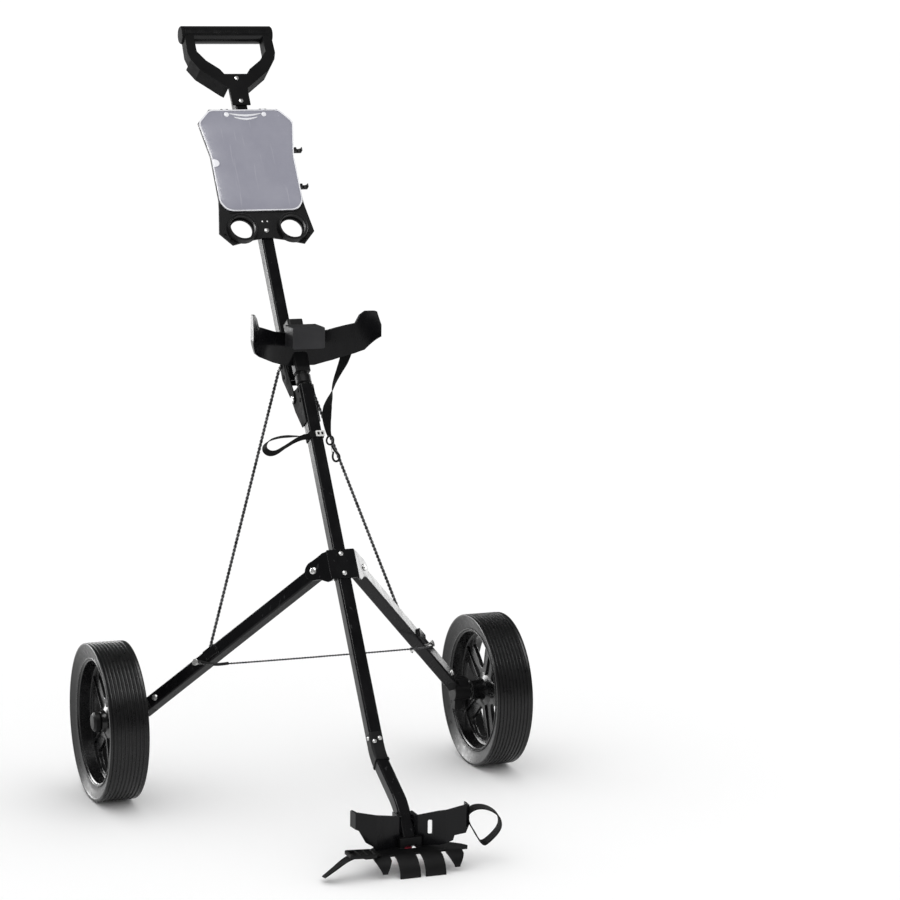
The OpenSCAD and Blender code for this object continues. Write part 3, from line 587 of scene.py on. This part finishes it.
def make_wires():
    """The struts in two halves each, the tie in two halves, and the fittings at their ends."""
    middle = STRUT_TOP.lerp(STRUT_FOOT, 0.5)
    down = (STRUT_FOOT - STRUT_TOP).normalized()
    for name, side_of in SIDES:
        top = twisted(f"strut_upper_{name}", [STRUT_TOP, middle], STRAND, LAY, side_of)
        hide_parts("strut_" + name)
        low = twisted(f"strut_lower_{name}", [middle, STRUT_FOOT], STRAND, LAY, side_of)
        tie = twisted(f"tie_wire_{name}", [TIE_MID, TIE_EDGE, TIE_BOLT], TIE_STRAND, TIE_LAY, side_of)
        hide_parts("tie_" + name)
        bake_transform(top)
        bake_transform(low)
        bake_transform(tie)
        # Eyes round the pin and the bolt, each with a crimped ferrule.
        for tag, at, body, way in (
            ("top", STRUT_TOP, "handle", down),
            ("foot", STRUT_FOOT, "leg_" + name, -down),
        ):
            rot = way.to_track_quat("X", "Z").to_matrix().to_4x4()
            place = side_of @ Matrix.Translation(at) @ rot @ MM
            solid_lathe(
                f"ferrule_{tag}_{name}",
                [(3, 0), (3, 1.7), (3.6, 2.3), (9, 2.3), (10, 2.5), (15, 2.3), (15.6, 1.8), (15.6, 0)],
                place, ZINC, 24, body=body, slot="bare_steel",
            )
            eye = [(0.4 + x, y, 0) for x, y in ellipse(4.8, 4.6, 32)]
            sweep(f"eye_{tag}_{name}", eye, ring(1.15, 8), place, WIRE, side=(0, 0, 1), closed=True,
                  body=body, slot="wire_rope")
    # The left end of the tie wears a black sleeve.
    line = spline([p * 1000 for p in (TIE_BOLT, TIE_EDGE, TIE_EDGE.lerp(TIE_MID, 0.13))], 30)
    sleeve = sweep("tie_sleeve_left", line, ring(2.3, 14), MIRROR @ MM, SLEEVE, carried=True,
                   slot="wire_rope")
    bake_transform(sleeve)


make_wires()


# ---------- wheels ----------


def tread_profile():
    """The tyre's section: dished sidewalls, a thin lip, crisp shoulders and nine fine ribs."""
    pts = [(-23.4, 98), (-23.8, 100), (-25.6, 106), (-28.6, 112.6), (-29.2, 114.6), (-29.9, 115.6),
           (-30, 118), (-29.6, 119.2), (-28.4, 119.7), (-27, 119.5)]
    ribs, pitch, crown = 9, 5.7, 3.7
    for i in range(ribs):
        c = (i - (ribs - 1) / 2) * pitch
        for x, r in ((-crown / 2, 118.3), (-crown / 2 + 0.5, 119.6), (0, 120), (crown / 2 - 0.5, 119.6),
                     (crown / 2, 118.3)):
            pts.append((c + x, r))
    pts += [(27, 119.5), (28.4, 119.7), (29.6, 119.2), (30, 118), (29.9, 115.6), (29.2, 114.6),
            (28.6, 112.6), (25.6, 106), (23.8, 100), (23.4, 98)]
    return pts


def window_outline(turn):
    """One window of the wheel disc: a rounded wedge between two spokes."""
    a = math.radians(turn)
    pts = [(36, -4.5), (34, 0), (36, 4.5), (60, 19), (72, 29), (80, 24), (85, 10), (85.6, 0),
           (85, -10), (80, -24), (72, -29), (60, -19)]
    pts = [(x * math.cos(a) - y * math.sin(a), x * math.sin(a) + y * math.cos(a)) for x, y in pts]
    return rounded_outline(pts, 7, 4)


def make_wheel(name, side_of):
    """Tyre, rim barrel, spoked disc, hub and spoke ribs, about the x axis of the wheel's own frame."""
    body = "wheel_" + name
    place = side_of @ Matrix.Translation((WHEEL_X, AXLE_Y, WHEEL_R)) @ MM
    tyre = lathe(f"tread_{name}", tread_profile(), place, RUBBER, 180, body=body, slot="tyre", sharp=34)
    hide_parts("tyre_" + name)
    barrel = [
        (-23.4, 97.9), (23.4, 97.9), (24.4, 97.4), (24.6, 95.8), (23.6, 94.8), (22.5, 94.4), (21.5, 92.4),
        (12, 91.6), (5, 90.8), (3.6, 89), (3.2, 86), (-3.2, 86), (-3.6, 89), (-5, 90.8), (-12, 91.6),
        (-21.5, 92.4), (-22.5, 94.4), (-23.6, 94.8), (-24.6, 95.8), (-24.4, 97.4),
    ]
    rim = lathe(f"rim_barrel_{name}", barrel, place, WHEEL, 144, body=body, slot="wheel_plastic")
    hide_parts("rim_" + name)
    turn = Matrix.Rotation(math.radians(90), 4, "Y") @ Matrix.Rotation(math.radians(90), 4, "Z")
    windows = [window_outline(144 + 72 * i) for i in range(5)]
    plate(f"rim_disc_{name}", [ring(88, 144), ring(6.4, 40)] + windows, 6.4,
          place @ Matrix.Translation((-3.2, 0, 0)) @ turn, WHEEL, 1.2, body=body, slot="wheel_plastic")
    hub = [(-29, 6.2), (-29, 14), (-28, 15), (-12, 15.4), (-7, 17), (-4, 24), (-2.5, 30), (2.5, 30),
           (4, 24), (7, 17), (10, 15.6), (13, 15), (14, 14), (14, 6.2)]
    lathe(f"rim_hub_{name}", hub, place, WHEEL, 72, body=body, slot="wheel_plastic")
    # A rib down the middle of each spoke, on both faces.
    verts, faces = [], []
    for i in range(5):
        a = math.radians(180 + 72 * i)
        for side in (-1, 1):
            k = len(verts)
            for r, h, w in ((26, 6.5, 2.2), (50, 6.0, 2.0), (70, 5.6, 1.9), (89, 5.2, 1.9)):
                for dx, dh in ((-w, 0), (-w * 0.75, 1), (w * 0.75, 1), (w, 0)):
                    x = side * (2.6 + (h - 2.6) * dh)
                    verts.append((x, r * math.cos(a) - dx * math.sin(a), r * math.sin(a) + dx * math.cos(a)))
            for j in range(3):
                for q in range(4):
                    n = (q + 1) % 4
                    faces.append((k + j * 4 + q, k + j * 4 + n, k + j * 4 + 4 + n, k + j * 4 + 4 + q))
            faces.append((k, k + 1, k + 2, k + 3))
            faces.append((k + 12, k + 13, k + 14, k + 15))
    piece(f"rim_ribs_{name}", verts, faces, place, WHEEL, body=body, slot="wheel_plastic")


for side_name, side_matrix in SIDES:
    make_wheel(side_name, side_matrix)


# ---------- straps ----------


def make_straps():
    """All the webbing, with the snap hook and the two buckles."""
    # Upper strap: sewn flat to the back of the cradle's right arm, its tail twisting down to a hook.
    flat = [(61, 5.2, 691.5 - i * 2.8) for i in range(11)]
    back = sweep("strap_sewn", flat, strap_section(20, 1.5), CART, WEB, side=(0.84, -0.54, 0),
                 body="frame", slot="webbing")
    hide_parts("upper_strap")
    tail = spline([(71, 5.4, 666), (66, 5.3, 652), (59.5, 5.5, 638), (51.5, 5.5, 620), (46.5, 5.3, 602),
                   (41, 5.3, 584), (39.5, 5.3, 566), (41.5, 5.3, 548), (44, 5.3, 538)], 80)
    sweep("strap_tail", tail, strap_section(18, 1.4), CART, WEB, side=(0.95, -0.3, 0),
          widths=(0.9, 0.8, 0.62, 0.5, 0.45, 0.6, 0.8, 0.8, 0.6, 0.35),
          twist=(0, 10, 25, 50, 80, 135, 165, 180, 180, 180), body="frame", slot="webbing")
    # Snap hook on its end.
    ring_path = [(45 + x, 5.3, 531 + z) for x, z in ellipse(5.6, 6.6, 40)]
    eye = sweep("hook_eye", ring_path, ring(1.5, 10), CART, PLASTIC, closed=True, body="frame",
                slot="black_plastic")
    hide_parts("strap_hook")
    hook = spline([(47, 5.3, 525), (50, 5.3, 519), (54, 5.3, 513), (59.5, 5.3, 508), (60.5, 5.3, 502),
                   (57, 5.3, 498), (52, 5.3, 499), (49.5, 5.3, 505), (50.5, 5.3, 513)], 60)
    sweep("hook_body", hook, ring(1.7, 10), CART, PLASTIC, carried=True, body="frame",
          slot="black_plastic")
    gate = spline([(46.5, 5.3, 524), (48.5, 5.3, 512), (50, 5.3, 503)], 20)
    sweep("hook_gate", gate, ring(0.9, 8), CART, ZINC, carried=True, body="frame", slot="black_plastic")

    # Mast strap: a turn round the mast and a free loop standing out to its left.
    wrap = rounded_outline([(-11.2, -11.2), (11.2, -11.2), (11.2, 11.2), (-11.2, 11.2)], 4, 6)
    turn = sweep("mast_strap_turn", [(x, y, 457) for x, y in wrap], strap_section(10, 1.3), MAST, WEB,
                 side=(0, 0, 1), closed=True, body="frame", slot="webbing")
    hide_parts("mast_strap")
    free = spline([(-11.5, -6, 456), (-20, -7, 455), (-34, -7, 450), (-52, -5, 441), (-66, -2, 434.5),
                   (-76, 0, 435), (-81, 2, 442), (-78, 4, 451), (-68, 5, 458.5), (-50, 6, 463),
                   (-30, 6, 463), (-11.5, 5, 461)], 110)
    sweep("mast_strap_loop", free, strap_section(10, 1.2), MAST, WEB, side=(0, 1, 0),
          widths=(0.9, 0.85, 0.8, 0.8, 0.9, 1, 1, 0.9, 0.8, 0.8, 0.8, 0.9),
          twist=(70, 40, 25, 20, 30, 45, 25, 5, 0, 0, 15, 60), body="frame", slot="webbing")
    buckle = plate("mast_strap_buckle", [
        rounded_outline([(-7, -4.5), (7, -4.5), (7, 4.5), (-7, 4.5)], 1.6),
        rounded_outline([(-5, -2.6), (-1, -2.6), (-1, 2.6), (-5, 2.6)], 0.8),
        rounded_outline([(1, -2.6), (5, -2.6), (5, 2.6), (1, 2.6)], 0.8),
    ], 3, MAST @ Matrix.Translation((5, -12.4, 457)) @ Matrix.Rotation(math.radians(90), 4, "X"),
        PALE, 0.5, body="frame", slot="pale_buckle")
    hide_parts("strap_buckle")

    # Foot loop on the right wing.
    loop = spline([(82, 72), (92, 79), (106, 79), (120, 73), (130, 63), (132, 50), (124, 38),
                   (109, 27), (101, 31), (92, 46), (84, 60)], 96, closed=True)
    web = sweep("foot_webbing", [(v.x, -480, v.y) for v in loop], strap_section(24, 1.7), CART, WEB,
                side=(0.2, 0.98, 0), closed=True, body="frame", slot="webbing")
    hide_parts("foot_loop")
    # Foot strap on the left, held by a ladder-lock buckle.
    line = spline([(-58, -490, 30.5), (-74, -494, 33.5), (-92, -498, 33), (-108, -500, 28),
                   (-124, -501, 18), (-140, -501, 7.5)], 48)
    web = sweep("foot_tail", line, strap_section(25, 1.6), CART, WEB, side=(0, 1, 0),
                widths=(1, 1, 1, 0.95, 0.85), twist=(0, 0, 6, 10, 14), body="frame", slot="webbing")
    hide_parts("foot_strap")
    frame_out = rounded_outline([(-20, -15), (20, -15), (20, 15), (-20, 15)], 4, 6)
    bars = [rounded_outline([(x, -12), (x + 9, -12), (x + 9, 12), (x, 12)], 1.5) for x in (-16, -4.5, 7)]
    place = CART @ Matrix.Translation((-84, -498, 31.4)) @ Matrix.Rotation(math.radians(3), 4, "Y")
    lock = plate("foot_ladder_lock", [frame_out] + bars, 5.5, place, PLASTIC, 1.2, body="frame",
                 slot="black_plastic")
    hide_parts("foot_buckle")


make_straps()


# ---------- card cover ----------


def make_cover():
    """The card cover: a sheet with a painted lavender reflection, a pale rim that is a painted highlight,
    two hinge barrels, two studs, two pale ribs that are a painted highlight and a thumb lift.
    """
    shape = mirrored([
        (50, 862), (60, 865.5), (68.5, 878), (68.5, 960), (78.2, 1019), (76.5, 1025), (58, 1044.8),
    ])
    outline = rounded_outline(shape, 6, 6)
    inner = [(x * 0.972, 953 + (y - 953) * 0.979) for x, y in outline]
    flat = Matrix.Rotation(math.radians(90), 4, "X")
    sheet = plate("cover_sheet", [outline], 1.4, MAST @ Matrix.Translation((0, 28.95, 0)) @ flat,
                  COVER, 0.45, body="card_cover", slot="clear_cover")
    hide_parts("card_cover")
    # A pale band round the sheet's edge: a painted highlight of the lit acrylic edge.
    plate("cover_painted_rim_highlight", [outline, inner], 1.2, MAST @ Matrix.Translation((0, 27.75, 0)) @ flat,
          EDGE, 0.5, body="card_cover", slot="clear_cover")
    barrel = [(-2.5, 0.86), (-2.5, 1.4), (-2.2, 1.6), (2.2, 1.6), (2.5, 1.4), (2.5, 0.86)]
    for tag, x in (("left", -32), ("right", 32)):
        lathe(f"cover_knuckle_{tag}", barrel, MAST @ Matrix.Translation((x, 28.25, 1045)), EDGE, 40,
              body="card_cover", slot="clear_cover")
    # Two studs near the top and, between them, two pale curved ribs that are a painted highlight.
    stud = [(0, 0), (0, 4.2), (1.0, 4.2), (1.7, 3.5), (2.1, 2.0), (2.2, 0)]
    for tag, x in (("left", -30), ("right", 32)):
        place = MAST @ Matrix.Translation((x, 27.6, 1036)) @ Matrix.Rotation(math.radians(-90), 4, "Z")
        solid_lathe(f"cover_stud_{tag}", stud, place, EDGE, 32, body="card_cover", slot="clear_cover")
    bar = [(-1.6, -0.7), (1.6, -0.7), (1.3, 0.5), (0.6, 0.8), (-0.6, 0.8), (-1.3, 0.5)]
    arc = ((-26, 1037.5), (-13, 1035), (0, 1034), (13, 1035), (26, 1037.5))
    for k, (drop, wide) in enumerate(((0, 1.0), (-6.5, 0.75))):
        line = spline([(x * wide + 1, 26.9, z + drop) for x, z in arc], 40)
        sweep(f"cover_painted_arc_highlight_{k}", line, bar, MAST, EDGE, side=(0, 0, 1),
              widths=(0.4, 1, 1.25, 1, 0.4), body="card_cover", slot="clear_cover")
    # Thumb lift on the left edge.
    lift = rounded_outline([(-67.5, 940), (-60, 942), (-56.5, 947), (-59, 953), (-67.5, 956)], 4, 5)
    plate("cover_lift", [lift], 2.2, MAST @ Matrix.Translation((0, 27.6, 0)) @ flat, EDGE, 0.8,
          body="card_cover", slot="clear_cover")


make_cover()


# ---------- floor, light ----------


def make_stage():
    """A plain pale floor, a white room that mirrors dimly, and softboxes seen only in reflections."""
    mesh = bpy.data.meshes.new("floor")
    far = 30
    mesh.from_pydata([(-far, -far, 0), (far, -far, 0), (far, far, 0), (-far, far, 0)], [], [(0, 1, 2, 3)])
    mat = Shader("floor_paint")
    tone = mat.noise(0.7, 3)
    mat.set(Base_Color=mat.mix(tone, (0.94, 0.94, 0.94), (0.96, 0.96, 0.96)), Roughness=0.9,
            Specular_IOR_Level=0.0)
    mesh.materials.append(mat.mat)
    floor = bpy.data.objects.new("floor", mesh)
    bpy.context.scene.collection.objects.link(floor)

    world = bpy.data.worlds.new("studio")
    world.use_nodes = True
    tree = world.node_tree
    sky = tree.nodes["Background"]
    sky.inputs["Color"].default_value = (1, 1, 1, 1)
    ray = tree.nodes.new("ShaderNodeLightPath")
    dim = tree.nodes.new("ShaderNodeMapRange")
    tree.links.new(ray.outputs["Is Glossy Ray"], dim.inputs["Value"])
    dim.inputs["To Min"].default_value = 1.08
    dim.inputs["To Max"].default_value = 0.14
    tree.links.new(dim.outputs["Result"], sky.inputs["Strength"])
    bpy.context.scene.view_settings.view_transform = "Standard"
    bpy.context.scene.world = world

    def softbox(name, at, look, size, power):
        data = bpy.data.lights.new(name, "AREA")
        data.shape = "RECTANGLE"
        data.size, data.size_y = size
        data.energy = power
        obj = bpy.data.objects.new(name, data)
        bpy.context.scene.collection.objects.link(obj)
        obj.location = at
        obj.rotation_euler = (Vector(look) - Vector(at)).to_track_quat("-Z", "Y").to_euler()
        obj.visible_diffuse = False

    softbox("key_top", (-1.0, -0.6, 3.2), (0, 0, 0.5), (2.2, 1.6), 70)
    softbox("rim_left", (-1.5, 2.6, 0.8), (0, 0, 0.5), (0.9, 1.6), 60)
    softbox("grip_light", (-0.2, -2.6, 3.6), (0, 0.5, 1.0), (0.8, 0.35), 30)
    softbox("rim_right", (2.8, 2.0, 0.8), (0, 0, 0.5), (1.0, 1.3), 26)


make_stage()
